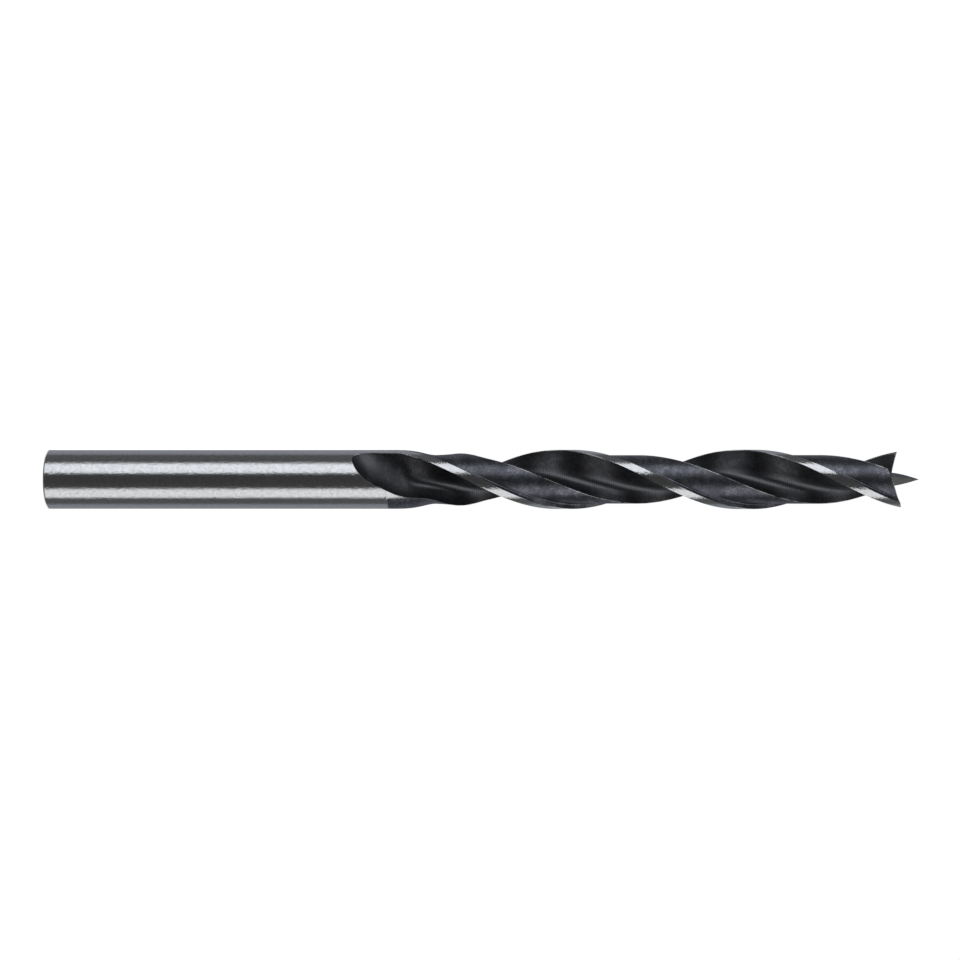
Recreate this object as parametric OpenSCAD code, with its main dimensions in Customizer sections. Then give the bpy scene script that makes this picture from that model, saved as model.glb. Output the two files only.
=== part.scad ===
// Brad point drill bit for wood, made from one round steel bar.
// A plain shank carries two right-hand helical flutes. Each land keeps a
// narrow ground margin behind its leading edge and is relieved behind it.
// At the tip two lips rise outward to sharp spurs round a central brad.
// The bit stands on its shank end: the axis is Z and the brad points up.

/* [Overall] */
// Length from the shank end to the point of the brad
overall_len = 117; // [100:1:160]
// Length from the start of the flutes to the point of the brad
flute_len = 76; // [50:1:90]
// Diameter over the margins at the spurs
cut_d = 8; // [7:0.1:10]
// Diameter of the plain shank
shank_d = 7.9; // [6.9:0.1:9.9]
// Depth of the chamfer round the shank end, along the axis
end_chamfer_len = 0.25; // [0.1:0.05:1]
// Width of the chamfer round the shank end, along the radius
end_chamfer_w = 0.5; // [0.1:0.1:1]

/* [Flutes] */
// Distance that the flutes advance in one full turn
flute_lead = 48.8; // [36:0.4:80]
// Thickness of the web left between the two flutes
web_t = 2.1; // [1.6:0.1:2.8]
// Radius of the hollow at the bottom of a flute
gullet_r = 1.25; // [0.8:0.05:1.4]
// Direction of the bottom of a flute, in degrees ahead of its leading edge
gullet_angle = 62; // [56:1:68]
// Opening of a flute at the relieved diameter, in degrees
flute_angle = 99.5; // [96:0.5:110]
// Length of the scoop that leads into a flute, up to its rake wall
scoop_len = 7.2; // [4:0.1:12]
// Depth of the hollow in the scoop, below the chord between its edges
scoop_hollow = 0.9; // [0.2:0.05:1.3]
// Length over which the rake wall reaches its full depth behind the scoop
rake_runout = 3; // [1:0.1:6]

// How far the heel of a flute lags behind its full opening after the scoop, in degrees
heel_lag = 21; // [0:0.5:24]

/* [Lands] */
// Width of the ground margin behind each leading edge
margin_w = 1.15; // [0.6:0.05:1.6]
// Depth of the relieved land below the margin
relief_depth = 0.72; // [0.3:0.02:0.9]
// Radius of the fillet between the margin and the relieved land
step_fillet = 0.3; // [0.1:0.05:0.6]
// Distance from the start of the flutes to the start of the relief
relief_start = 4.7; // [2:0.1:12]
// Length over which the relief reaches its full depth
relief_runout = 6.5; // [3:0.1:14]
// Share of the relief that is missing along the heel where the heel lags
heel_crest = 0.7; // [0:0.05:0.8]

/* [Tip] */
// How far the brad stands ahead of the spurs
brad_reach = 2.67; // [1.5:0.01:4]
// Thickness of the brad across its ground flanks, at its root
brad_t = 0.98; // [0.6:0.02:1.6]
// How full the sides of the brad are, where 1 is a straight taper
brad_fullness = 1.45; // [1:0.05:2.5]
// Radius of the fillet between a lip and the brad
brad_fillet = 0.22; // [0.05:0.01:0.4]
// Rise of a lip from the brad out to its spur, in degrees
lip_rise = 17; // [5:1:30]
// Fall of an end face behind its lip, in degrees
lip_relief = 14; // [6:1:20]

/* [Hidden] */
steel_colour = [0.62, 0.63, 0.65];

cut_r = cut_d / 2;
shank_r = shank_d / 2;
web_r = web_t / 2;
flute_z = overall_len - flute_len;
spur_z = overall_len - brad_reach;
relief_r = cut_r - relief_depth;
rake_z = flute_z + scoop_len;
full_z = rake_z + rake_runout;

// The flute profile in a section across the axis, with its leading edge on +X.
// A straight rake wall and a straight heel wall both touch the round gullet.
function polar(r, a) = [r * cos(a), r * sin(a)];
function heading(v) = atan2(v[1], v[0]);
function tangent_heading(p, side) =
    let (to_centre = gullet_c - p)
    heading(to_centre) + side * asin(gullet_r / norm(to_centre));
gullet_c = polar(web_r + gullet_r, gullet_angle);
rake_heading = tangent_heading([cut_r, 0], 1);
heel_heading = tangent_heading(polar(relief_r, flute_angle), -1);
arc_start = rake_heading + 90;
arc_end = heel_heading + 270;
arc_len = gullet_r * (arc_start - arc_end) * PI / 180;
rake_foot = gullet_c + polar(gullet_r, arc_start);
heel_foot = gullet_c + polar(gullet_r, arc_end);

// A point of the profile, s being the length along it from the rake wall's foot
function profile(s) =
    s < 0 ? rake_foot + polar(s, rake_heading) :
    s > arc_len ? heel_foot - polar(s - arc_len, heel_heading) :
    gullet_c + polar(gullet_r, arc_start - s / gullet_r * 180 / PI);

function ease(t) =
    let (u = max(0, min(1, t)))
    u * u * (3 - 2 * u);

// Where the profile crosses a radius, by halving
function crossing(inside, outside, r, steps) =
    let (middle = (inside + outside) / 2)
    steps == 0 ? middle :
    norm(profile(middle)) > r ?
        crossing(inside, middle, r, steps - 1) :
        crossing(middle, outside, r, steps - 1);

// Radius over the margins, with a slight back taper from the spurs. It starts
// a hair inside the shank, so that no facet touches the shank's round edge.
skin_gap = 0.01;
function margin_radius(z) =
    let (start_r = shank_r - skin_gap)
    start_r + (cut_r - start_r) * (z - flute_z) / (spur_z - flute_z);
function relief(z) =
    let (t = max(0, z - flute_z - relief_start) / relief_runout)
    relief_depth * ease(min(1, t) * min(1, t));

// Shares of the flute's width at which a ring has its points
rake_steps = 4;
gullet_steps = 6;
heel_steps = 3;
rake_len = norm([cut_r, 0] - rake_foot);
heel_len = norm(polar(relief_r, flute_angle) - heel_foot);
flute_stations = [
    for (i = [0 : rake_steps - 1]) rake_len * i / rake_steps,
    for (i = [0 : gullet_steps - 1]) rake_len + arc_len * i / gullet_steps,
    for (i = [0 : heel_steps]) rake_len + arc_len + heel_len * i / heel_steps
] / (rake_len + arc_len + heel_len);

// Points of a land behind its leading edge, as an angle and a share of the relief
margin_steps = 3;
fillet_steps = 3;
relief_steps = 10;
wall_lean = 0.05;
function arc_angle(length, r) = length / r * 180 / PI;
function step_points() = [
    for (i = [0 : fillet_steps])
        let (b = 90 * (1 - i / fillet_steps))
        [arc_angle(margin_w + wall_lean + step_fillet * (1 - cos(b)), cut_r),
            1 - step_fillet / relief_depth * (1 - sin(b))],
    [arc_angle(margin_w, cut_r), 0]
];
function margin_points() = [
    for (i = [1 : margin_steps - 1]) [arc_angle(margin_w, cut_r) * (1 - i / margin_steps), 0]
];
function relief_points(z, land) =
    let (foot = step_points()[0][0])
    [
        for (i = [1 : relief_steps - 1])
            let (t = i / relief_steps)
            [land + (foot - land) * t, 1 - crest(z) * pow(1 - t, crest_power)]
    ];

// The scoop at the start of a flute. Its leading edge runs straight along the
// bar up to the helix, just ahead of the rake wall, and its other edge spreads
// from the nose as the root of the distance.
rake_setback = 0.7;
nose_len = 2;
nose_angle = 18.6;
nose_spread = 34.3;
nose_start = 0.03;
function nose_heading(z) = 360 * (rake_z - rake_setback - z) / flute_lead + nose_angle;
function scoop_lead(z, along) =
    let (left = 1 - min(1, along / nose_len))
    nose_heading(z) - nose_angle * sqrt(1 - left * left);
function scoop_heel(z, along) = nose_heading(z) + nose_spread * sqrt(along);
function rake_share(z) =
    let (left = 1 - max(0, min(1, (z - rake_z) / rake_runout)))
    1 - left * left * left;

// Behind the scoop the flute opens late: its heel lags, and the land rises to a
// low crest along it. Both fade out once the flute is at its full depth.
lag_start = 5.6;
lag_rise = 5.4;
lag_hold = 11.4;
lag_fade = 7;
lag_power = 1.5;
crest_power = 4;
function fading(z) = 1 - ease((z - flute_z - lag_hold) / lag_fade);
function lag(z) = heel_lag * ease((z - flute_z - lag_start) / lag_rise) * fading(z);
function crest(z) = heel_crest * fading(z);

// One half of a section: a flute and the land beyond it
halvings = 40;
function flute_points(z) =
    let (
        outer = margin_radius(z),
        heel_r = outer - relief(z) * (1 - crest(z)),
        first = crossing(0, -overall_len, outer, halvings),
        last = crossing(arc_len, overall_len, heel_r, halvings),
        along = max(nose_start, z - flute_z),
        lead_angle = max(heading(profile(first)), scoop_lead(z, along)),
        heel_angle = min(heading(profile(last)), scoop_heel(z, along)),
        from = polar(outer, lead_angle),
        to = polar(heel_r, heel_angle),
        hollow = scoop_hollow * min(1, along / scoop_len),
        share = rake_share(z)
    )
    [for (t = flute_stations)
        z < flute_z ?
            polar(outer, lead_angle + (heel_angle - lead_angle) * t) :
            turned(
                profile(first + (last - first) * t) * share +
                    (from + (to - from) * t
                        - polar(hollow * 4 * t * (1 - t), (lead_angle + heel_angle) / 2))
                    * (1 - share),
                -lag(z) * pow(t, lag_power)
            )
    ];
function land_points(z, lead_angle, heel_angle) = [
    for (p = concat(relief_points(z, 180 + lead_angle - heel_angle), step_points(), margin_points()))
        polar(margin_radius(z) - relief(z) * p[1], 180 + lead_angle - p[0])
];
function half_section(z) =
    let (
        flute = flute_points(z),
        land = land_points(z, heading(flute[0]), heading(flute[len(flute) - 1]))
    )
    concat(flute, land);
function turned(p, a) = [p[0] * cos(a) - p[1] * sin(a), p[0] * sin(a) + p[1] * cos(a)];
function ring(z) =
    let (half = half_section(z), helix = 360 * (z - spur_z) / flute_lead)
    [for (side = [0, 180]) for (p = half) let (q = turned(p, helix + side)) [q[0], q[1], z]];

// Heights of the rings: close together round the nose and where the rake rises
nose_rings = 15;
nose_crowding = 1.8;
rake_rings = 9;
rake_crowding = 1.3;
body_rings = 74;
root_depth = 0.6;
tip_room = 0.7;
ring_heights = [
    flute_z - root_depth,
    for (i = [0 : nose_rings - 1]) flute_z + scoop_len * pow(i / nose_rings, nose_crowding),
    for (i = [0 : rake_rings - 1]) rake_z + rake_runout * pow(i / rake_rings, rake_crowding),
    for (i = [0 : body_rings]) full_z + (spur_z + tip_room - full_z) * i / body_rings
];

// A closed skin through rings of equally many points, with a fan on each end
module lofted(rings) {
    n = len(rings[0]);
    top = len(rings) - 1;
    base_centre = (top + 1) * n;
    axis_ends = [for (k = [0, top]) [0, 0, rings[k][0][2]]];
    skin = [
        for (k = [0 : top - 1], i = [0 : n - 1])
            let (j = (i + 1) % n)
            each [
                [k * n + i, (k + 1) * n + i, k * n + j],
                [k * n + j, (k + 1) * n + i, (k + 1) * n + j]
            ]
    ];
    fans = [
        for (i = [0 : n - 1])
            let (j = (i + 1) % n)
            each [[base_centre, i, j], [base_centre + 1, top * n + j, top * n + i]]
    ];
    polyhedron(points = concat([for (r = rings) each r], axis_ends), faces = concat(skin, fans));
}

// Height of an end face, which rises outward along its lip and falls behind it
lip_out = polar(1, rake_heading + 180);
lip_back = polar(1, rake_heading + 90);
function end_height(p) =
    let (from_spur = p - [cut_r, 0])
    spur_z + tan(lip_rise) * (from_spur * lip_out) - tan(lip_relief) * (from_spur * lip_back);

// What the grinding of one end face takes away, from the axis outward
cut_room = 2;
module end_face_cut() {
    reach = cut_r + cut_room;
    plan = [for (c = [[0, -1], [1, -1], [1, 1], [0, 1]]) reach * (c[0] * lip_out - c[1] * lip_back)];
    polyhedron(
        points = [
            for (p = plan) [p[0], p[1], end_height(p)],
            for (p = plan) [p[0], p[1], overall_len + cut_room]
        ],
        faces = [[0, 1, 2, 3], [7, 6, 5, 4], [0, 4, 5, 1], [1, 5, 6, 2], [2, 6, 7, 3], [3, 7, 4, 0]]
    );
}

module fluted_body() {
    difference() {
        lofted([for (z = ring_heights) ring(z)]);
        end_face_cut();
        rotate(180) end_face_cut();
    }
}

// The brad: two ground flanks parallel to each other and two along the web
brad_inset = 0.06;
brad_steps = 8;
brad_fillet_steps = 3;
brad_base = 0.1;
brad_root = 0.5;
brad_point = 0.004;
fillet_sink = 0.02;
root_z = end_height([0, 0]);
web_heading = gullet_angle + 360 * (root_z - spur_z) / flute_lead;
lip_heading = rake_heading - 180;
function brad_corner(across, along) =
    [across * sin(web_heading) - along * sin(lip_heading),
        along * cos(lip_heading) - across * cos(web_heading)] / sin(web_heading - lip_heading);
function brad_ring(t, drop, flare) = [
    for (c = [[1, -1], [1, 1], [-1, 1], [-1, -1]])
        let (
            share = 1 - pow(min(t, 1 - brad_point), brad_fullness),
            foot = brad_corner(c[0] * brad_t / 2, c[1] * (web_r - brad_inset)),
            p = brad_corner(
                c[0] * (brad_t / 2 * share + flare),
                c[1] * (web_r - brad_inset) * share
            ),
            foot_z = end_height(c[0] * foot)
        )
        [p[0], p[1], foot_z + (overall_len - foot_z) * t - drop]
];
module brad() {
    length = overall_len - root_z;
    lofted([
        brad_ring(0, brad_root, brad_fillet),
        for (i = [0 : brad_fillet_steps])
            let (b = 90 * i / brad_fillet_steps)
            brad_ring(brad_fillet * (1 - cos(b)) / length, fillet_sink, brad_fillet * (1 - sin(b))),
        for (i = [1 : brad_steps]) brad_ring(brad_base + (1 - brad_base) * i / brad_steps, 0, 0)
    ]);
}

// The plain shank, with a chamfer round its flat end
module shank() {
    rotate_extrude($fn = 96)
        polygon([
            [0, 0],
            [shank_r - end_chamfer_w, 0],
            [shank_r, end_chamfer_len],
            [shank_r, flute_z],
            [0, flute_z]
        ]);
}

module drill_bit() {
    color(steel_colour) {
        shank();
        fluted_body();
        brad();
    }
}

drill_bit();
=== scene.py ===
# %% [markdown]
# # A brad point drill bit
#
# This lesson dresses one drill bit for wood: a plain ground shank, two helical
# flutes left black from the hardening, ground margins and a brad point.
# The CAD frame is loaded first. Nothing in it is moved or resized.

# %% Load the frame
import math

import bpy
import numpy as np
from mathutils import Matrix, Vector


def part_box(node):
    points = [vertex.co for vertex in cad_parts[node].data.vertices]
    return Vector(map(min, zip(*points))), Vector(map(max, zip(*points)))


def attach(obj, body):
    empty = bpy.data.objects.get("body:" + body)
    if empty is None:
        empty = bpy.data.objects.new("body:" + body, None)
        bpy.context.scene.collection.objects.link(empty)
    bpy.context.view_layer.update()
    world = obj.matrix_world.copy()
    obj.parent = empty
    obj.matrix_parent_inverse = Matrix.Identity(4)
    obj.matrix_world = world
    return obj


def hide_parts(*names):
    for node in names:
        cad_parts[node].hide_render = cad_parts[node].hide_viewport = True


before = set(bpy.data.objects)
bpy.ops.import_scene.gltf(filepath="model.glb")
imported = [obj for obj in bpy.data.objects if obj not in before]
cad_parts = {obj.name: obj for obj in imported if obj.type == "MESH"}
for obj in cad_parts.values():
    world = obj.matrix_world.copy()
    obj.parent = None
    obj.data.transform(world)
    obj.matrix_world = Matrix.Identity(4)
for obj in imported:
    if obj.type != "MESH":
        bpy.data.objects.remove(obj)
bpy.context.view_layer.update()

NODE = "drill_bit"
low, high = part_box(NODE)
print("the bit in the frame:", [round(v * 1000, 2) for v in (high - low)], "mm")

# %% [markdown]
# ## The sizes of the bit
#
# The lengths are in millimetres, as on a maker's drawing, and are turned into
# metres only when a mesh is made. The overall length and the cutting diameter
# come from the frame, so that the dressed bit stays inside the CAD model's box.

# %% Sizes
MM = 0.001
overall_len = high.z / MM
cut_r = high.x / MM
shank_r = 3.95
flute_z = overall_len - 76
scoop_len = 7.2
scoop_hollow = 0.9
rake_runout = 3.0
flute_lead = 48.8
web_r = 1.05
gullet_r = 1.25
gullet_angle = 62
flute_angle = 99.5
margin_w = 1.15
relief_depth = 0.72
step_fillet = 0.3
relief_start = 4.7
relief_runout = 6.5
spur_z = overall_len - 2.67
end_chamfer_len = 0.25
end_chamfer_w = 0.5
heel_lag = 21
heel_crest = 0.7
lip_rise = math.tan(math.radians(17))
lip_relief = math.tan(math.radians(14))
brad_t = 0.98
brad_fullness = 1.45
brad_fillet = 0.22
rake_z = flute_z + scoop_len
full_z = rake_z + rake_runout
relief_r = cut_r - relief_depth
print("the flutes start", round(flute_z, 2), "mm up, the spurs are", round(spur_z, 2), "mm up")

# %% [markdown]
# ## The outline of a flute
#
# A grinding wheel gives each flute a straight rake wall, a round gullet and a
# straight heel wall. Both walls touch the gullet's circle, so the whole outline
# follows from the circle and from the two edges that the walls end on.

# %% The flute's outline in a section
def polar(r, degrees):
    a = math.radians(degrees)
    return np.array([r * math.cos(a), r * math.sin(a)])


def heading(v):
    return math.degrees(math.atan2(v[1], v[0])) % 360


gullet_c = polar(web_r + gullet_r, gullet_angle)


def tangent_heading(p, side):
    to_centre = gullet_c - p
    spread = math.degrees(math.asin(gullet_r / np.linalg.norm(to_centre)))
    return heading(to_centre) + side * spread


rake_heading = tangent_heading(np.array([cut_r, 0.0]), 1)
heel_heading = tangent_heading(polar(relief_r, flute_angle), -1) - 360
arc_start = rake_heading + 90
arc_end = heel_heading + 270
arc_len = gullet_r * math.radians(arc_start - arc_end)
rake_foot = gullet_c + polar(gullet_r, arc_start)
heel_foot = gullet_c + polar(gullet_r, arc_end)
rake_len = np.linalg.norm(np.array([cut_r, 0.0]) - rake_foot)
heel_len = np.linalg.norm(polar(relief_r, flute_angle) - heel_foot)


def outline_point(s):
    """A point of the flute, s being the way along it from the rake wall's foot."""
    if s < 0:
        return rake_foot + polar(s, rake_heading)
    if s > arc_len:
        return heel_foot - polar(s - arc_len, heel_heading)
    return gullet_c + polar(gullet_r, arc_start - math.degrees(s / gullet_r))


print("rake wall", round(rake_len, 2), "gullet", round(arc_len, 2), "heel wall", round(heel_len, 2))

# %% [markdown]
# ## How the flutes and the relief run out
#
# At the shank the wheel backs out of the steel. Its rim leaves first, so the rake
# wall ends in a short steep curve, and its flank leaves a long hollow scoop with
# a rounded nose. The relief behind the margin has a run-out of its own.

# %% Run-outs
RAKE_SETBACK = 0.7
NOSE_LEN = 2.0
NOSE_ANGLE = 18.6
NOSE_SPREAD = 34.3
NOSE_START = 0.03
SOFT_START = 0.35
LAG_START, LAG_RISE = 5.6, 5.4
LAG_HOLD, LAG_FADE = 11.4, 7.0
LAG_POWER, CREST_POWER = 1.5, 4


def ease(t):
    t = min(1.0, max(0.0, t))
    return t * t * (3 - 2 * t)


def nose_heading(z):
    return 360 * (rake_z - RAKE_SETBACK - z) / flute_lead + NOSE_ANGLE


def scoop_edges(z):
    """The headings of the scoop's leading edge and of its heel edge."""
    along = max(NOSE_START, z - flute_z)
    left = 1 - min(1.0, along / NOSE_LEN)
    lead = nose_heading(z) - NOSE_ANGLE * math.sqrt(1 - left * left)
    return lead, nose_heading(z) + NOSE_SPREAD * math.sqrt(along)


def rake_share(z):
    """The share of the full outline: it starts softly over SOFT_START either way."""
    past = max(0.0, z - rake_z + SOFT_START)
    if past < 2 * SOFT_START:
        past = past * past / (4 * SOFT_START)
    else:
        past -= SOFT_START
    return 1 - (1 - min(1.0, past / rake_runout)) ** 3


def margin_radius(z):
    return shank_r + (cut_r - shank_r) * max(0, z - flute_z) / (spur_z - flute_z)


def relief(z):
    t = min(1.0, max(0.0, z - flute_z - relief_start) / relief_runout)
    return relief_depth * ease(t * t)


def fading(z):
    return 1 - ease((z - flute_z - LAG_HOLD) / LAG_FADE)


def lag(z):
    """How far the heel lags behind its full opening, in degrees."""
    return heel_lag * ease((z - flute_z - LAG_START) / LAG_RISE) * fading(z)


def crossing(inside, outside, r):
    """Where the outline passes the radius r, found by halving."""
    for _ in range(40):
        middle = (inside + outside) / 2
        if np.linalg.norm(outline_point(middle)) > r:
            outside = middle
        else:
            inside = middle
    return inside


# %% [markdown]
# ## One ring of the bar
#
# A ring holds the points of two flutes and two lands. Points are set close
# together at the leading edge and at the heel, where the real edges are broken
# by a hair, because that hair is what catches the light.

# %% One ring
EDGE_BREAK = 0.035
STEP_ROOM = 0.05
RAKE_STEPS, GULLET_STEPS, HEEL_STEPS = 9, 14, 6
RELIEF_STEPS, FILLET_STEPS, MARGIN_STEPS = 20, 5, 5
flute_total = rake_len + arc_len + heel_len
flute_stations = np.concatenate([
    [EDGE_BREAK],
    np.linspace(0, rake_len, RAKE_STEPS + 1)[1:-1],
    rake_len + np.linspace(0, arc_len, GULLET_STEPS + 1)[:-1],
    rake_len + arc_len + np.linspace(0, heel_len, HEEL_STEPS + 1)[:-1],
    [flute_total - EDGE_BREAK, flute_total],
]) / flute_total


def arc_angle(length):
    return math.degrees(length / cut_r)


step_angles = [
    (arc_angle(margin_w + STEP_ROOM + step_fillet * (1 - math.sin(b))),
     1 - step_fillet / relief_depth * (1 - math.cos(b)))
    for b in np.linspace(0, math.pi / 2, FILLET_STEPS + 1)
]
margin_angle = arc_angle(margin_w)
CHORD_BEND = 4


def flute_points(z):
    """One flute, blended from the scoop into the full outline."""
    outer = margin_radius(z)
    heel_r = outer - relief(z) * (1 - heel_crest * fading(z))
    first = crossing(0, -3 * cut_r, outer)
    last = crossing(arc_len, 3 * cut_r, heel_r)
    lead, heel = scoop_edges(z)
    full_lead = (heading(outline_point(first)) + 180) % 360 - 180
    lead = max(full_lead, lead)
    heel = min(heading(outline_point(last)), heel)
    if z < flute_z:
        return [polar(outer, lead + (heel - lead) * t) for t in flute_stations]
    start, end = polar(outer, lead), polar(heel_r, heel)
    hollow = scoop_hollow * min(1.0, (z - flute_z) / scoop_len)
    inward = polar(-CHORD_BEND * hollow, (lead + heel) / 2)
    share = rake_share(z)
    points = []
    for t in flute_stations:
        chord = start + (end - start) * t + inward * t * (1 - t)
        p = outline_point(first + (last - first) * t) * share + chord * (1 - share)
        points.append(polar(np.linalg.norm(p), heading(p) - lag(z) * t ** LAG_POWER))
    return points


LEDGE_HEADING = 85.1
LEDGE_AFTER = 1.0
LEDGE_EARLY = 0.2
STEP_TOP = ((0.1, 0.06), (-0.4, 0.0))
LAST_BREAK, LAST_DROP = 0.15, 0.003


def half_ring(z):
    """The points of one flute and the land beyond it, in millimetres."""
    outer = margin_radius(z)
    drop = relief(z)
    points = flute_points(z)
    lead = (heading(points[0]) + 180) % 360 - 180
    heel = heading(points[-1])
    ledge = heel + LEDGE_AFTER
    if z > flute_z + relief_start - LEDGE_EARLY:
        ledge = max(ledge, nose_heading(z) + LEDGE_HEADING)
    foot = step_angles[0][0]
    far = 180 + lead - ledge
    land = 180 + lead - heel
    crest = heel_crest * fading(z)
    steps = [land - arc_angle(EDGE_BREAK), far]
    steps += [far + (foot - far) * t for t in np.linspace(0, 1, RELIEF_STEPS + 1)[1:-1]]
    steps = [(a, 1 - crest * max(0, (a - foot) / (land - foot)) ** CREST_POWER) for a in steps]
    steps += step_angles
    steps += [(margin_angle + past, depth) for past, depth in STEP_TOP]
    steps += [(margin_angle * (1 - t), 0.0) for t in np.linspace(0, 1, MARGIN_STEPS + 1)[1:-1]]
    steps += [(arc_angle(EDGE_BREAK), 0.0), (arc_angle(EDGE_BREAK) * LAST_BREAK, LAST_DROP)]
    points += [polar(outer - drop * d, 180 + lead - a) for a, d in steps]
    return np.array(points)


n_flute = len(flute_stations)
n_land = len(half_ring(80.0)) - n_flute
half_count = n_flute + n_land
print("a ring has", 2 * half_count, "points")


def ring(z):
    half = half_ring(z)
    turn = 2 * math.pi * (z - spur_z) / flute_lead
    rows = []
    for side in (0, math.pi):
        c, s = math.cos(turn + side), math.sin(turn + side)
        rows.append(half @ np.array([[c, s], [-s, c]]))
    flat = np.concatenate(rows)
    return np.column_stack([flat, np.full(len(flat), z)])


# %% [markdown]
# ## The bar, from one sheet
#
# A real bit starts as a plain rod. Here a flat grid stands for the rod's skin:
# its columns go round the bar and its rows go up it. Each row of points is laid
# on the ring for its height, and the seam is then merged. A screw modifier could
# make an even spiral, but not the run-outs, so the rings are placed one by one.

# %% Roll the sheet into the bar
TIP_ROOM = 0.7
ROUND_BELOW = 0.6
SHANK_HEIGHTS = [0.45, 8, 16, 24, 32]
NOSE_RINGS, NOSE_BUNCH = 70, 1.6
RISE_RINGS, RISE_BUNCH = 30, 1.2
EVEN_RINGS = 300


def bar_heights():
    """The rings' heights, close together where the flutes begin."""
    plain = [0.0, end_chamfer_len, *SHANK_HEIGHTS, flute_z - ROUND_BELOW]
    nose = [flute_z + scoop_len * (i / NOSE_RINGS) ** NOSE_BUNCH for i in range(NOSE_RINGS)]
    rising = [rake_z + rake_runout * (i / RISE_RINGS) ** RISE_BUNCH for i in range(RISE_RINGS)]
    even = np.linspace(full_z, spur_z + TIP_ROOM, EVEN_RINGS)
    return plain + nose + rising + list(even)


heights = bar_heights()
n_ring = 2 * half_count
grid = np.zeros((len(heights), n_ring + 1, 3))
start_ring = ring(flute_z - ROUND_BELOW)
for k, z in enumerate(heights):
    if z < flute_z:
        row = start_ring.copy()
        radius = shank_r - end_chamfer_w if z == 0 else shank_r
        row[:, :2] *= radius / np.linalg.norm(row[:, :2], axis=1)[:, None]
        row[:, 2] = z
    else:
        row = ring(z)
    grid[k, :n_ring] = row
    grid[k, n_ring] = row[0]

bpy.ops.object.select_all(action="DESELECT")
bpy.context.tool_settings.mesh_select_mode = (False, True, False)
bpy.ops.mesh.primitive_grid_add(
    x_subdivisions=n_ring, y_subdivisions=len(heights) - 1, size=1, calc_uvs=True
)
bit = bpy.context.active_object
bit.name = "ground_bit"
sheet = np.empty(len(bit.data.vertices) * 3)
bit.data.vertices.foreach_get("co", sheet)
sheet = sheet.reshape(-1, 3)
column = np.rint((sheet[:, 0] + 0.5) * n_ring).astype(int)
row_of = np.rint((sheet[:, 1] + 0.5) * (len(heights) - 1)).astype(int)
bit.data.vertices.foreach_set("co", (grid[row_of, column] * MM).ravel())
print("the sheet has", len(bit.data.vertices), "points in", len(heights), "rings")

# %% [markdown]
# ## What each face is
#
# The black skin from hardening is left in the flutes and behind the margins,
# while the shank and the margins are ground bright. The face's place on the
# sheet says which it is, so each face gets its material number here, and each
# point keeps its distance to the nearest long edge for the edges' wear and
# painted highlight later. The gullet is painted lighter than the walls, partly
# chip polish and partly a painted sheen where the soft boxes show in its round
# bottom, and three listed spots in the flute get a lighter colour too, so a
# second number on each point says how much lighter it is painted.

# %% Face kinds and edge distances
GROUND, FLUTE_SKIN, RELIEVED, TIP, WEB_SHADE = range(5)


def kind_of(i, z):
    """The kind of the face between columns i and i + 1 at the height z."""
    i = i % half_count
    if i < n_flute - 1:
        return FLUTE_SKIN if z > flute_z else GROUND
    if i < n_flute + RELIEF_STEPS + FILLET_STEPS + 2:
        past_ledge = i > n_flute or nose_heading(z) + LEDGE_HEADING < heel_full + LEDGE_AFTER
        return RELIEVED if z > flute_z + relief_start and past_ledge else GROUND
    return GROUND


heel_full = heading(flute_points(full_z)[-1])
mesh = bit.data
loops = np.array([p.vertices[:] for p in mesh.polygons])
face_column = column[loops].min(axis=1)
face_row = row_of[loops].min(axis=1)
face_z = np.array([(heights[k] + heights[k + 1]) / 2 for k in face_row])
kinds = np.array([kind_of(i, z) for i, z in zip(face_column, face_z)])
mesh.polygons.foreach_set("material_index", kinds)

steps = np.linalg.norm(np.diff(grid, axis=1), axis=2)
along = np.concatenate([np.zeros((len(heights), 1)), np.cumsum(steps, axis=1)], axis=1)
edges_at = [0, n_flute - 1, half_count, half_count + n_flute - 1, n_ring]
gap = np.min([np.abs(along - along[:, [e]]) for e in edges_at], axis=0)
edge_gap = mesh.attributes.new("edge_gap", "FLOAT", "POINT")
edge_gap.data.foreach_set("value", gap[row_of, column])
arc_from, arc_to = rake_len / flute_total, (rake_len + arc_len) / flute_total
# How much lighter the gullet is painted, chip polish and painted sheen, fading towards the walls
# and rising after the scoop.
GULLET_POLISH_SHEEN, GULLET_FADE, GULLET_RISE = 0.7, 0.12, 4.0
LIGHTER_SPOTS = (  # way up the flute, its length, place across, its width, depth
    (1.7, 1.6, 0.30, 0.30, 0.6),
    (9.8, 2.3, 0.75, 0.22, 1.0),
    (72.0, 2.5, 0.10, 0.30, 0.8),
)


def rub_and_sheen(along, station):
    """How much lighter the skin is painted, by the way up the flute and across it."""
    off = max(arc_from - station, station - arc_to, 0.0)
    share = GULLET_POLISH_SHEEN * max(0.0, 1 - off / GULLET_FADE) * ease((along - scoop_len) / GULLET_RISE)
    for way, length, place, width, depth in LIGHTER_SPOTS:
        far = ((along - way) / length) ** 2 + ((station - place) / width) ** 2
        share = max(share, depth * math.exp(-far))
    return share


polish_sheen_share = np.zeros((len(heights), n_ring + 1))
for k, z in enumerate(heights):
    row = [rub_and_sheen(z - flute_z, station) for station in flute_stations]
    for start in (0, half_count):
        polish_sheen_share[k, start:start + n_flute] = row
polish_and_sheen = mesh.attributes.new("polish_and_sheen", "FLOAT", "POINT")
polish_and_sheen.data.foreach_set("value", polish_sheen_share[row_of, column])
print("faces ground, flute, relieved:", [int((kinds == k).sum()) for k in range(3)])

# %% [markdown]
# ## Close the bar
#
# The sheet's two sides meet along one line, and merging by distance joins them.
# The two open ends are then filled, which makes the bar solid. The shank's end
# and its chamfer aren't ground with the round side, so they keep a black skin.

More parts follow.
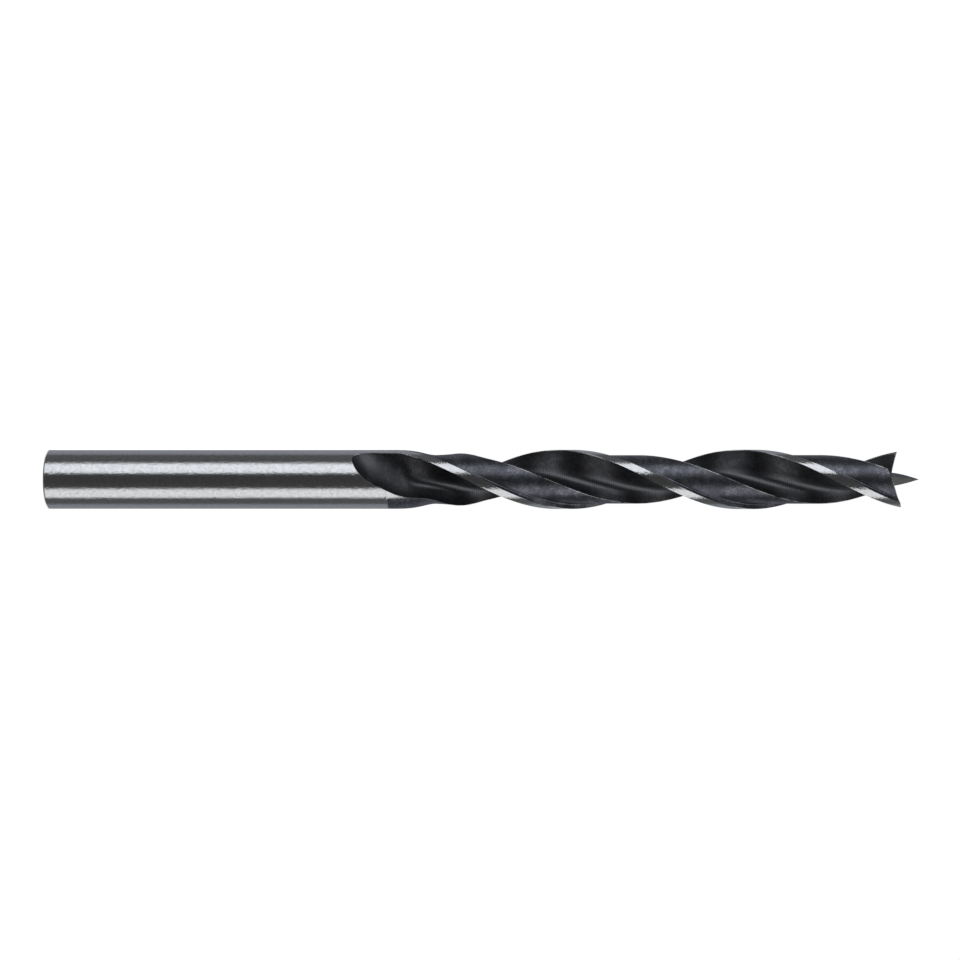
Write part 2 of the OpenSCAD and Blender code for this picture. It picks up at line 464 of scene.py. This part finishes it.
# %% Merge the seam and fill the ends
SAME_PLACE = 1e-7
bpy.ops.object.mode_set(mode="EDIT")
bpy.ops.mesh.select_all(action="SELECT")
bpy.ops.mesh.remove_doubles(threshold=SAME_PLACE)
bpy.ops.mesh.select_all(action="DESELECT")
for end in (heights[0] * MM, heights[-1] * MM):
    bpy.ops.object.mode_set(mode="OBJECT")
    for edge in bit.data.edges:
        ends = [bit.data.vertices[v].co.z for v in edge.vertices]
        edge.select = all(abs(z - end) < SAME_PLACE for z in ends)
    bpy.ops.object.mode_set(mode="EDIT")
    bpy.ops.mesh.edge_face_add()
    bpy.ops.mesh.select_all(action="DESELECT")
bpy.ops.mesh.select_all(action="SELECT")
bpy.ops.mesh.normals_make_consistent(inside=False)
bpy.ops.object.mode_set(mode="OBJECT")
for face in bit.data.polygons:
    if face.center.z < end_chamfer_len * MM and face.normal.z < -0.5:
        face.material_index = RELIEVED
print("closed, with", len(bit.data.polygons), "faces")

# %% [markdown]
# ## Grind the end
#
# Two flat end faces slope from the spurs down to the middle and fall away behind
# the lips. A wedge block stands for the grinding wheel: it is a cube whose lower
# face is laid on the end face's plane, and a Boolean takes it from the bar.
# Each block reaches a hair past the middle. Blocks that only meet there would
# leave thin loose skins of steel standing between them. The edges' wear and
# painted highlight are made strongest at the tip, so the kept distance to an
# edge is cut short there.

# %% The end face's plane and its wedge
lip_out = polar(1, rake_heading + 180)
lip_back = polar(1, rake_heading + 90)
WHEEL_REACH, WHEEL_TOP = 6.0, 3
OVERLAP = 0.004
TIP_WEAR_GLINT_LEN, TIP_WEAR_GLINT = 9.0, 0.65


def end_height(p):
    """The height of the front lip's end face over a point of the plan."""
    from_spur = np.array(p) - np.array([cut_r, 0.0])
    return spur_z + lip_rise * (from_spur @ lip_out) - lip_relief * (from_spur @ lip_back)


def wedge(name, side):
    """A block over one half of the end, its underside on the end face."""
    bpy.ops.object.select_all(action="DESELECT")
    bpy.ops.mesh.primitive_cube_add(size=1)
    block = bpy.context.active_object
    block.name = name
    for v in block.data.vertices:
        out = (v.co.x + 0.5) * WHEEL_REACH - OVERLAP
        p = out * lip_out + v.co.y * 2 * WHEEL_REACH * lip_back
        z = end_height(p) if v.co.z < 0 else overall_len + WHEEL_TOP
        v.co = Vector((side * p[0], side * p[1], z)) * MM
    bpy.ops.object.mode_set(mode="EDIT")
    bpy.ops.mesh.select_all(action="SELECT")
    bpy.ops.mesh.normals_make_consistent(inside=False)
    bpy.ops.object.mode_set(mode="OBJECT")
    return block


def grind_off(target, tool):
    """Takes the tool's shape from the target and removes the tool."""
    bpy.ops.object.select_all(action="DESELECT")
    target.select_set(True)
    bpy.context.view_layer.objects.active = target
    bpy.ops.object.modifier_add(type="BOOLEAN")
    step = target.modifiers[-1]
    step.object, step.operation, step.solver = tool, "DIFFERENCE", "EXACT"
    bpy.ops.object.modifier_apply(modifier=step.name)
    bpy.data.objects.remove(tool, do_unlink=True)


# The last finish, on the brad's web flanks, is a painted shade.
FINISH_NAMES = ("ground_steel", "flute_skin", "land_skin", "ground_end", "web_painted_shade")
for name in FINISH_NAMES:
    bit.data.materials.append(bpy.data.materials.new(name))
for side in (1, -1):
    block = wedge("end_wheel", side)
    for material in bit.data.materials:
        block.data.materials.append(material)
    block.data.polygons.foreach_set("material_index", [TIP] * 6)
    grind_off(bit, block)
kept = bit.data.attributes["edge_gap"].data
for v, gap in zip(bit.data.vertices, kept):
    p = np.array(v.co.xy) / MM
    below = end_height(p if p @ lip_out > 0 else -p) - v.co.z / MM
    near_tip = min(1.0, max(0.0, 1 - (spur_z - v.co.z / MM) / TIP_WEAR_GLINT_LEN))
    gap.value = min(gap.value * (1 - TIP_WEAR_GLINT * near_tip), max(0.0, below))
print("after grinding the end:", len(bit.data.polygons), "faces")

# %% [markdown]
# ## The brad
#
# The point in the middle pulls the bit into the wood. It has four flanks: two
# follow the web and two are ground parallel to the lips. The two along the web
# are given a darker, bluer colour, a painted shade standing for the darker upper
# flank. A four-sided face is added and extruded step by step, and each step's
# four corners are then drawn in to the brad's curve, up to the point. Its root
# goes down into the bar, so it is simply joined to it.

# %% Extrude the brad
root_z = end_height([0.0, 0.0])
web_heading = math.radians(gullet_angle + 360 * (root_z - spur_z) / flute_lead)
lip_heading = math.radians(rake_heading - 180)
WEB_INSET = 0.06
POINT_SHARE = 0.996
ROOT_DEPTH, FOOT_SINK = 0.5, 0.02
FOOT_STEPS, POINT_STEPS = 6, 19


def brad_corner(across, length):
    """Where a line along the web and a line along the lips cross."""
    x = across * math.sin(web_heading) - length * math.sin(lip_heading)
    y = length * math.cos(lip_heading) - across * math.cos(web_heading)
    return np.array([x, y]) / math.sin(web_heading - lip_heading)


def brad_ring(t, drop, flare):
    """The four corners at the share t of the way up from the end faces."""
    share = 1 - min(t, POINT_SHARE) ** brad_fullness
    half_web = web_r - WEB_INSET
    corners = []
    for across, length in ((1, -1), (1, 1), (-1, 1), (-1, -1)):
        foot = brad_corner(across * brad_t / 2, length * half_web)
        p = brad_corner(across * (brad_t / 2 * share + flare), length * half_web * share)
        foot_z = end_height(across * foot)
        corners.append((p[0], p[1], foot_z + (overall_len - foot_z) * t - drop))
    return corners


brad_len = overall_len - root_z
brad_rings = [brad_ring(0, ROOT_DEPTH, brad_fillet)]
for b in np.radians(np.linspace(0, 90, FOOT_STEPS + 1)):
    t = brad_fillet * (1 - math.cos(b)) / brad_len
    brad_rings.append(brad_ring(t, FOOT_SINK, brad_fillet * (1 - math.sin(b))))
brad_rings += [brad_ring(t, 0, 0) for t in np.linspace(0.1, 1.0, POINT_STEPS + 1)[1:]]

bpy.ops.object.select_all(action="DESELECT")
bpy.context.tool_settings.mesh_select_mode = (False, False, True)
bpy.ops.mesh.primitive_circle_add(vertices=4, radius=1, fill_type="NGON")
brad = bpy.context.active_object
brad.name = "brad"
plan = np.array([[x, y] for x, y, _ in brad_rings[0]]) * MM
for v, (x, y) in zip(brad.data.vertices, plan):
    v.co = Vector((x, y, 0))
bpy.ops.object.mode_set(mode="EDIT")
bpy.ops.mesh.select_all(action="SELECT")
for _ in brad_rings[1:]:
    bpy.ops.mesh.extrude_region_move(TRANSFORM_OT_translate={"value": (0, 0, MM)})
bpy.ops.object.mode_set(mode="OBJECT")
for v in brad.data.vertices:
    corner = int(np.argmin(np.linalg.norm(plan - np.array(v.co.xy), axis=1)))
    v.co = Vector(brad_rings[round(v.co.z / MM)][corner]) * MM
bpy.ops.object.mode_set(mode="EDIT")
bpy.ops.mesh.select_all(action="SELECT")
bpy.ops.mesh.normals_make_consistent(inside=False)
bpy.ops.object.mode_set(mode="OBJECT")
for material in bit.data.materials:
    brad.data.materials.append(material)
across_web = Vector((math.cos(web_heading), math.sin(web_heading), 0))
# The web flanks take the darker, bluer finish: painted shade.
for face in brad.data.polygons:
    face.material_index = WEB_SHADE if abs(face.normal @ across_web) > 0.8 else TIP
print("brad", len(brad.data.vertices), "points,", len(brad.data.polygons), "faces")
unworn = brad.data.attributes.new("edge_gap", "FLOAT", "POINT")
unworn.data.foreach_set("value", [1.0] * len(brad.data.vertices))
bpy.ops.object.select_all(action="DESELECT")
brad.select_set(True)
bit.select_set(True)
bpy.context.view_layer.objects.active = bit
bpy.ops.object.join()
print("with its brad:", len(bit.data.polygons), "faces")


# %% [markdown]
# ## Smooth the round faces and keep the edges
#
# Ground faces are smooth, and they meet in crisp edges. Shading is smoothed only
# where two faces meet at less than 30 degrees, so the margins, the lips and the
# brad's corners stay sharp.

# %% Shade by angle
bpy.ops.object.select_all(action="DESELECT")
bit.select_set(True)
bpy.context.view_layer.objects.active = bit
bpy.ops.object.shade_smooth_by_angle(angle=math.radians(30))
print("the piece has", sum(len(p.vertices) - 2 for p in bit.data.polygons), "triangles")


# %% [markdown]
# ## Helpers for the finishes
#
# A finish is a small tree of nodes. These helpers add a node with its values and
# join two sockets, so that each finish below reads as a short list.

# %% Node helpers
def add(tree, kind, **values):
    """Adds a node. Plain words set its options, and inputs= sets its sockets."""
    node = tree.nodes.new(kind)
    for socket, value in values.pop("inputs", {}).items():
        node.inputs[socket].default_value = value
    for name, value in values.items():
        setattr(node, name, value)
    return node


def join(tree, source, target):
    tree.links.new(source, target)


def group(name, inputs, outputs):
    """A shader node group with number sockets, and its two end nodes."""
    tree = bpy.data.node_groups.new(name, "ShaderNodeTree")
    for label, value in inputs.items():
        socket = tree.interface.new_socket(label, in_out="INPUT", socket_type="NodeSocketFloat")
        socket.default_value = value
    for label in outputs:
        tree.interface.new_socket(label, in_out="OUTPUT", socket_type="NodeSocketFloat")
    return tree, tree.nodes.new("NodeGroupInput"), tree.nodes.new("NodeGroupOutput")


def math_node(tree, operation, a, b, clamp=False):
    node = add(tree, "ShaderNodeMath", operation=operation, use_clamp=clamp)
    for socket, value in zip(node.inputs, (a, b)):
        if isinstance(value, (int, float)):
            socket.default_value = value
        else:
            join(tree, value, socket)
    return node.outputs[0]


def span(tree, value, low, high, out_low=0.0, out_high=1.0):
    """Maps low..high to out_low..out_high with soft ends."""
    node = add(tree, "ShaderNodeMapRange", interpolation_type="SMOOTHSTEP", inputs={
        "From Min": low, "From Max": high, "To Min": out_low, "To Max": out_high})
    join(tree, value, node.inputs["Value"])
    return node.outputs["Result"]


def blended(tree, share, first, second):
    """A colour between two colours or sockets, by a share from 0 to 1."""
    node = add(tree, "ShaderNodeMix", data_type="RGBA")
    join(tree, share, node.inputs[0])
    for socket, value in ((node.inputs[6], first), (node.inputs[7], second)):
        if isinstance(value, tuple):
            socket.default_value = (*value, 1.0)
        else:
            join(tree, value, socket)
    return node.outputs[2]


# %% [markdown]
# ## Grinding lines
#
# A rod is ground while it spins, so its scratches run round it. A noise that
# changes fast along the bit and slowly across it gives short lines at one height.
# Every finish uses it, each at its own scale, so it is a group.

# %% The grinding lines group
lines_tree, lines_in, lines_out = group(
    "grinding_lines", {"Fineness": 3000.0, "Stretch": 0.15}, ["Lines", "Grain"])
place = add(lines_tree, "ShaderNodeTexCoord")
parts = add(lines_tree, "ShaderNodeSeparateXYZ")
join(lines_tree, place.outputs["Object"], parts.inputs[0])
squeezed = add(lines_tree, "ShaderNodeCombineXYZ")
for axis, socket in enumerate(("X", "Y", "Z")):
    part = parts.outputs[socket]
    if socket != "Z":
        part = math_node(lines_tree, "MULTIPLY", part, lines_in.outputs["Stretch"])
    join(lines_tree, part, squeezed.inputs[axis])
fine = add(lines_tree, "ShaderNodeTexNoise", inputs={"Detail": 3.0, "Roughness": 0.6})
join(lines_tree, squeezed.outputs[0], fine.inputs["Vector"])
join(lines_tree, lines_in.outputs["Fineness"], fine.inputs["Scale"])
grain = add(lines_tree, "ShaderNodeTexNoise", inputs={"Detail": 2.0, "Roughness": 0.7})
join(lines_tree, place.outputs["Object"], grain.inputs["Vector"])
join(lines_tree, lines_in.outputs["Fineness"], grain.inputs["Scale"])
join(lines_tree, fine.outputs[0], lines_out.inputs["Lines"])
join(lines_tree, grain.outputs[0], lines_out.inputs["Grain"])
print("group", lines_tree.name)

# %% [markdown]
# ## Wheel marks
#
# Across a flute the wheel leaves a mark for each of its passes, about a quarter of
# a millimetre apart. A wave along the bit, bent a little, gives these fine ribs.

# %% The wheel marks group
marks_tree, marks_in, marks_out = group("wheel_marks", {"Pitch Scale": 1250.0}, ["Ribs"])
place = add(marks_tree, "ShaderNodeTexCoord")
ribs = add(marks_tree, "ShaderNodeTexWave", bands_direction="Z", inputs={
    "Distortion": 2.5, "Detail": 2.0, "Detail Scale": 0.6, "Detail Roughness": 0.6})
join(marks_tree, place.outputs["Object"], ribs.inputs["Vector"])
join(marks_tree, marks_in.outputs["Pitch Scale"], ribs.inputs["Scale"])
join(marks_tree, ribs.outputs["Fac"], marks_out.inputs["Ribs"])
print("group", marks_tree.name)

# %% [markdown]
# ## Mottling, specks and scratches
#
# The black skin isn't even. It has cloudy patches with smaller blots in them, fine
# scratches at a slant and a few specks where it was rubbed through. Four noises
# give the three masks, and each finish uses what it needs.

# %% The mottling group
mottle_tree, mottle_in, mottle_out = group(
    "mottling", {"Cloud Scale": 700.0, "Speck Scale": 5200.0}, ["Clouds", "Specks", "Scratches"])
place = add(mottle_tree, "ShaderNodeTexCoord")


def noise(scale, detail, roughness, vector=place.outputs["Object"]):
    node = add(mottle_tree, "ShaderNodeTexNoise",
               inputs={"Detail": detail, "Roughness": roughness})
    join(mottle_tree, vector, node.inputs["Vector"])
    join(mottle_tree, scale, node.inputs["Scale"])
    return node.outputs[0]


cloud_scale, speck_scale = (mottle_in.outputs[name] for name in ("Cloud Scale", "Speck Scale"))
patches = span(mottle_tree, noise(cloud_scale, 4.0, 0.65), 0.38, 0.66)
blot_scale = math_node(mottle_tree, "MULTIPLY", cloud_scale, 5.0)
blots = span(mottle_tree, noise(blot_scale, 3.0, 0.7), 0.3, 0.7)
clouds = math_node(mottle_tree, "MULTIPLY", patches, blots)
specks = span(mottle_tree, noise(speck_scale, 1.0, 0.5), 0.66, 0.76)
specks = math_node(mottle_tree, "MULTIPLY", specks, patches)
slant = add(mottle_tree, "ShaderNodeMapping", inputs={
    "Rotation": (0.7, 0.35, 0.5), "Scale": (1.0, 0.045, 1.0)})
join(mottle_tree, place.outputs["Object"], slant.inputs["Vector"])
scratches = span(mottle_tree, noise(speck_scale, 1.0, 0.5, slant.outputs[0]), 0.66, 0.74)
for name, mask in (("Clouds", clouds), ("Specks", specks), ("Scratches", scratches)):
    join(mottle_tree, mask, mottle_out.inputs[name])
print("group", mottle_tree.name)

# %% [markdown]
# ## Worn edges with painted highlights
#
# The long edges get a bright colour in thin broken lines: partly skin worn
# through, partly a painted highlight where the edges catch the light. The
# distance kept with each point says how near an edge is, and a noise breaks the
# line into bits.

# %% The worn edges and painted highlights group
edge_glint_tree, edge_glint_in, edge_glint_out = group(
    "worn_glinting_edges", {"Width": 0.13, "Breaks": 900.0}, ["Mask"])
near = add(edge_glint_tree, "ShaderNodeAttribute", attribute_name="edge_gap")
place = add(edge_glint_tree, "ShaderNodeTexCoord")
breaks = add(edge_glint_tree, "ShaderNodeTexNoise", inputs={"Detail": 3.0, "Roughness": 0.65})
join(edge_glint_tree, place.outputs["Object"], breaks.inputs["Vector"])
join(edge_glint_tree, edge_glint_in.outputs["Breaks"], breaks.inputs["Scale"])
share = math_node(edge_glint_tree, "DIVIDE", near.outputs["Fac"], edge_glint_in.outputs["Width"])
close = span(edge_glint_tree, share, 1.0, 0.3)
left = span(edge_glint_tree, breaks.outputs[0], 0.36, 0.56)
join(edge_glint_tree, math_node(edge_glint_tree, "MULTIPLY", close, left), edge_glint_out.inputs["Mask"])
print("group", edge_glint_tree.name)


# %% [markdown]
# ## A finish
#
# All the finishes are bare or blackened metal, so one helper lays out the same
# tree with different values: a colour that varies with the clouds, with specks,
# the edges' wear and painted highlight and, in the flutes, the gullet's polish
# and painted sheen mixed in, a roughness that follows the grain, and a bump.
# Heights are in thousandths of a millimetre.

# %% The finish helper
MICRON = 0.000001


def finish(material, base, cloud, bright, rough, fineness=3000.0, stretch=0.15,
           cloud_scale=700.0, line_height=1.0, grain_height=1.0, rib_height=0.0,
           speck=0.0, scratch=0.0, wear_and_glint=0.0, width=0.13, wear_glint_rough=0.0,
           polish_sheen_colour=None, smoother=1.0):
    material.use_nodes = True
    tree = material.node_tree
    tree.nodes.clear()
    out = add(tree, "ShaderNodeOutputMaterial")
    metal = add(tree, "ShaderNodeBsdfPrincipled", inputs={"Metallic": 1.0})
    join(tree, metal.outputs[0], out.inputs["Surface"])
    lines = add(tree, "ShaderNodeGroup", node_tree=lines_tree)
    lines.inputs["Fineness"].default_value = fineness
    lines.inputs["Stretch"].default_value = stretch
    mottle = add(tree, "ShaderNodeGroup", node_tree=mottle_tree)
    mottle.inputs["Cloud Scale"].default_value = cloud_scale
    edge = add(tree, "ShaderNodeGroup", node_tree=edge_glint_tree)
    edge.inputs["Width"].default_value = width
    marks = math_node(tree, "ADD", math_node(tree, "MULTIPLY", mottle.outputs["Specks"], speck),
                      math_node(tree, "MULTIPLY", mottle.outputs["Scratches"], scratch))
    # Near the long edges the colour turns bright: partly wear, partly a painted highlight.
    rub_and_sheen = math_node(tree, "MULTIPLY", edge.outputs["Mask"], wear_and_glint)
    bare_and_glint = math_node(tree, "ADD", marks, rub_and_sheen, clamp=True)
    skin = blended(tree, mottle.outputs["Clouds"], base, cloud)
    dull = span(tree, lines.outputs["Grain"], 0.3, 0.7, rough[0], rough[1])
    # The gullet and the listed spots are painted lighter here: chip polish and painted sheen.
    if polish_sheen_colour:
        ribs = add(tree, "ShaderNodeGroup", node_tree=marks_tree).outputs["Ribs"]
        polish_sheen_share = add(tree, "ShaderNodeAttribute", attribute_name="polish_and_sheen")
        shown = math_node(tree, "MULTIPLY", polish_sheen_share.outputs["Fac"],
                          span(tree, ribs, 0.2, 0.8, 0.6, 1.2))
        skin = blended(tree, shown, skin, polish_sheen_colour)
        dull = math_node(tree, "MULTIPLY", dull,
                         span(tree, polish_sheen_share.outputs["Fac"], 0.0, 1.0, 1.0, smoother))
    join(tree, blended(tree, bare_and_glint, skin, bright), metal.inputs["Base Color"])
    if wear_glint_rough:
        dull = math_node(tree, "ADD", dull, math_node(tree, "MULTIPLY", rub_and_sheen, wear_glint_rough))
    join(tree, dull, metal.inputs["Roughness"])
    height = math_node(tree, "MULTIPLY", lines.outputs["Lines"], line_height)
    height = math_node(tree, "ADD", height,
                       math_node(tree, "MULTIPLY", lines.outputs["Grain"], grain_height))
    if polish_sheen_colour:
        height = math_node(tree, "ADD", height, math_node(tree, "MULTIPLY", ribs, rib_height))
    bump = add(tree, "ShaderNodeBump", inputs={"Strength": 1.0, "Distance": MICRON})
    join(tree, height, bump.inputs["Height"])
    join(tree, bump.outputs[0], metal.inputs["Normal"])


# %% [markdown]
# ## The finishes
#
# Ground steel is bright with fine lines. The flutes keep the black skin, and the
# relieved lands keep a duller bluish one. The end faces are ground dry, which
# leaves them a darker straw grey, and the brad's web sides get a darker bluish
# grey, a painted shade.

# %% Set the finishes
STEEL = (0.62, 0.63, 0.65)
# Almost white: the colour of bare specks on the lands and of their edges' painted highlight.
BARE_STEEL_AND_GLINT = (0.95, 0.96, 0.98)
kinds_of_finish = list(bit.data.materials)
finish(kinds_of_finish[GROUND], (0.64, 0.65, 0.67), (0.47, 0.48, 0.50), (0.85, 0.85, 0.86),
       rough=(0.10, 0.17), fineness=4000.0, cloud_scale=2900.0, line_height=10.0,
       grain_height=20.0, speck=0.4)
# The flute's lighter gullet colour is chip polish and painted sheen.
finish(kinds_of_finish[FLUTE_SKIN], (0.046, 0.047, 0.051), (0.094, 0.096, 0.106), STEEL,
       rough=(0.38, 0.48), line_height=4.0, stretch=0.06, fineness=4500.0, rib_height=6.0,
       wear_and_glint=0.7, polish_sheen_colour=(0.150, 0.155, 0.170), smoother=0.88)
# The lands' edges turn almost white, worn steel and a painted highlight.
finish(kinds_of_finish[RELIEVED], (0.105, 0.109, 0.128), (0.26, 0.268, 0.315), BARE_STEEL_AND_GLINT,
       rough=(0.34, 0.46), line_height=2.0, grain_height=4.0, fineness=4500.0,
       speck=0.2, scratch=0.1, wear_and_glint=1.0, width=0.08, wear_glint_rough=0.12)
finish(kinds_of_finish[TIP], (0.48, 0.485, 0.465), (0.34, 0.345, 0.335), STEEL,
       rough=(0.25, 0.35), line_height=2.0, grain_height=3.0)
# The brad's web flanks: a darker bluish grey, painted shade.
finish(kinds_of_finish[WEB_SHADE], (0.24, 0.245, 0.27), (0.36, 0.365, 0.39), STEEL,
       rough=(0.3, 0.4), cloud_scale=2200.0, grain_height=1.5)
print("finishes:", [material.name for material in bit.data.materials])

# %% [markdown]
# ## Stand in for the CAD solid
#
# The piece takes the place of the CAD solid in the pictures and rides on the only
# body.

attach(bit, "root")
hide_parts(NODE)
print("the piece stands for", NODE)

# %% [markdown]
# ## The floor
#
# The bit stands on its flat end on a plain pale floor. To the camera the floor is
# nearly white, and the part of its light that is real light keeps the shadow.

# %% Add the floor
bpy.ops.object.select_all(action="DESELECT")
bpy.ops.mesh.primitive_plane_add(size=6, location=(0, 0, 0))
floor = bpy.context.active_object
floor.name = "floor"
paint = bpy.data.materials.new("pale_floor")
paint.use_nodes = True
tree = paint.node_tree
tree.nodes.clear()
out = add(tree, "ShaderNodeOutputMaterial")
matt = add(tree, "ShaderNodeBsdfDiffuse", inputs={"Color": (0.8, 0.8, 0.8, 1)})
glow = add(tree, "ShaderNodeEmission", inputs={"Color": (1, 1, 1, 1), "Strength": 0.78})
both = add(tree, "ShaderNodeAddShader")
path = add(tree, "ShaderNodeLightPath")
pick = add(tree, "ShaderNodeMixShader")
join(tree, matt.outputs[0], both.inputs[0])
join(tree, glow.outputs[0], both.inputs[1])
join(tree, path.outputs["Is Camera Ray"], pick.inputs[0])
join(tree, matt.outputs[0], pick.inputs[1])
join(tree, both.outputs[0], pick.inputs[2])
join(tree, pick.outputs[0], out.inputs["Surface"])
floor.data.materials.append(paint)
floor.visible_glossy = False
print("floor laid")

# %% [markdown]
# ## The camera
#
# The photograph was taken from the side with the bit lying across the frame, so
# the camera looks level at the bit and is rolled by a quarter turn. It sits 304
# mm away on the side where the front spur shows just below the axis.

# %% Place the camera
VIEW_FROM = -69.2
DISTANCE = 304.0
AIM_Z, AIM_DROP = 58.06, 0.08
toward_camera = Vector((*polar(1, VIEW_FROM), 0))
image_up = Vector((*polar(1, VIEW_FROM - 90), 0))
image_right = Vector((0, 0, 1))
centre = (image_right * AIM_Z - image_up * AIM_DROP) * MM
turn = Matrix((image_right, image_up, toward_camera)).transposed().to_4x4()
lens = bpy.data.cameras.new("camera")
camera = bpy.data.objects.new("camera", lens)
bpy.context.scene.collection.objects.link(camera)
camera.matrix_world = Matrix.Translation(centre + toward_camera * DISTANCE * MM) @ turn
lens.sensor_width = 36
lens.lens = 84.86
lens.clip_start = 0.01
bpy.context.scene.camera = camera
print("camera at", [round(v * 1000) for v in camera.location], "mm")


# %% [markdown]
# ## The light
#
# A polished cylinder shows its surroundings as bands along its length. The real
# bands say that two tall soft boxes stood above and below the lens, with a dark
# room in front, and a pale wall behind. The soft boxes are area lamps here.

# %% Two soft boxes
BOX_AWAY, BOX_TALL, BOX_MIDDLE = 0.6, 1.4, 0.06


def soft_box(name, angle, width, power, tint):
    """A tall lamp beside the bit; angle is measured from the camera, up in the frame."""
    lamp = bpy.data.lights.new(name, "AREA")
    lamp.shape = "RECTANGLE"
    lamp.size = 2 * BOX_AWAY * math.tan(math.radians(width / 2))
    lamp.size_y = BOX_TALL
    lamp.energy = power
    lamp.color = tint
    box = bpy.data.objects.new(name, lamp)
    bpy.context.scene.collection.objects.link(box)
    away = Vector((*polar(1, VIEW_FROM - angle), 0))
    upward = Vector((0, 0, 1))
    facing = Matrix((upward.cross(away), upward, away)).transposed().to_4x4()
    box.matrix_world = Matrix.Translation(away * BOX_AWAY + upward * BOX_MIDDLE) @ facing
    box.visible_camera = False


soft_box("upper_box", 44.8, 39.4, 2.18, (0.96, 0.98, 1.0))
soft_box("lower_box", -56.8, 38.6, 1.81, (1.0, 0.995, 0.98))
print("two soft boxes")

# %% [markdown]
# ## The room
#
# The world gives the rest. The camera sees it white. Metal and glass see a room
# that is dark in front and paler behind, whose shade a colour ramp sets by the
# direction. All other light gets a plain grey from it.

# %% The world
world = bpy.data.worlds.new("room")
bpy.context.scene.world = world
world.use_nodes = True
tree = world.node_tree
tree.nodes.clear()
out = add(tree, "ShaderNodeOutputWorld")
room = add(tree, "ShaderNodeBackground")
white = add(tree, "ShaderNodeBackground", inputs={"Color": (1, 1, 1, 1), "Strength": 1.0})
path = add(tree, "ShaderNodeLightPath")
pick = add(tree, "ShaderNodeMixShader")
place = add(tree, "ShaderNodeTexCoord")
front = add(tree, "ShaderNodeVectorMath", operation="DOT_PRODUCT")
front.inputs[1].default_value = toward_camera
join(tree, place.outputs["Generated"], front.inputs[0])
half = math_node(tree, "MULTIPLY_ADD", front.outputs["Value"], 0.5)
half.node.inputs[2].default_value = 0.5
shade = add(tree, "ShaderNodeValToRGB")
join(tree, half, shade.inputs["Fac"])
ROOM_SHADES = (
    (0.00, (0.15, 0.155, 0.165)),
    (0.05, (0.32, 0.33, 0.36)),
    (0.15, (0.30, 0.31, 0.34)),
    (0.29, (0.27, 0.28, 0.31)),
    (0.315, (0.12, 0.12, 0.12)),
    (0.65, (0.105, 0.105, 0.105)),
    (0.90, (0.08, 0.08, 0.08)),
    (1.00, (0.055, 0.055, 0.052)),
)
ramp = shade.color_ramp
for (where, tone), step in zip(ROOM_SHADES[:2], ramp.elements):
    step.position, step.color = where, (*tone, 1)
for where, tone in ROOM_SHADES[2:]:
    ramp.elements.new(where).color = (*tone, 1)
join(tree, shade.outputs["Color"], room.inputs["Color"])
plain = add(tree, "ShaderNodeBackground", inputs={"Color": (0.3, 0.3, 0.3, 1), "Strength": 1.0})
mirrored = math_node(
    tree, "MAXIMUM", path.outputs["Is Glossy Ray"], path.outputs["Is Transmission Ray"])
seen = add(tree, "ShaderNodeMixShader")
join(tree, mirrored, seen.inputs[0])
join(tree, plain.outputs[0], seen.inputs[1])
join(tree, room.outputs[0], seen.inputs[2])
join(tree, path.outputs["Is Camera Ray"], pick.inputs[0])
join(tree, seen.outputs[0], pick.inputs[1])
join(tree, white.outputs[0], pick.inputs[2])
join(tree, pick.outputs[0], out.inputs["Surface"])
bpy.context.scene.view_settings.view_transform = "Standard"
print("room ready")
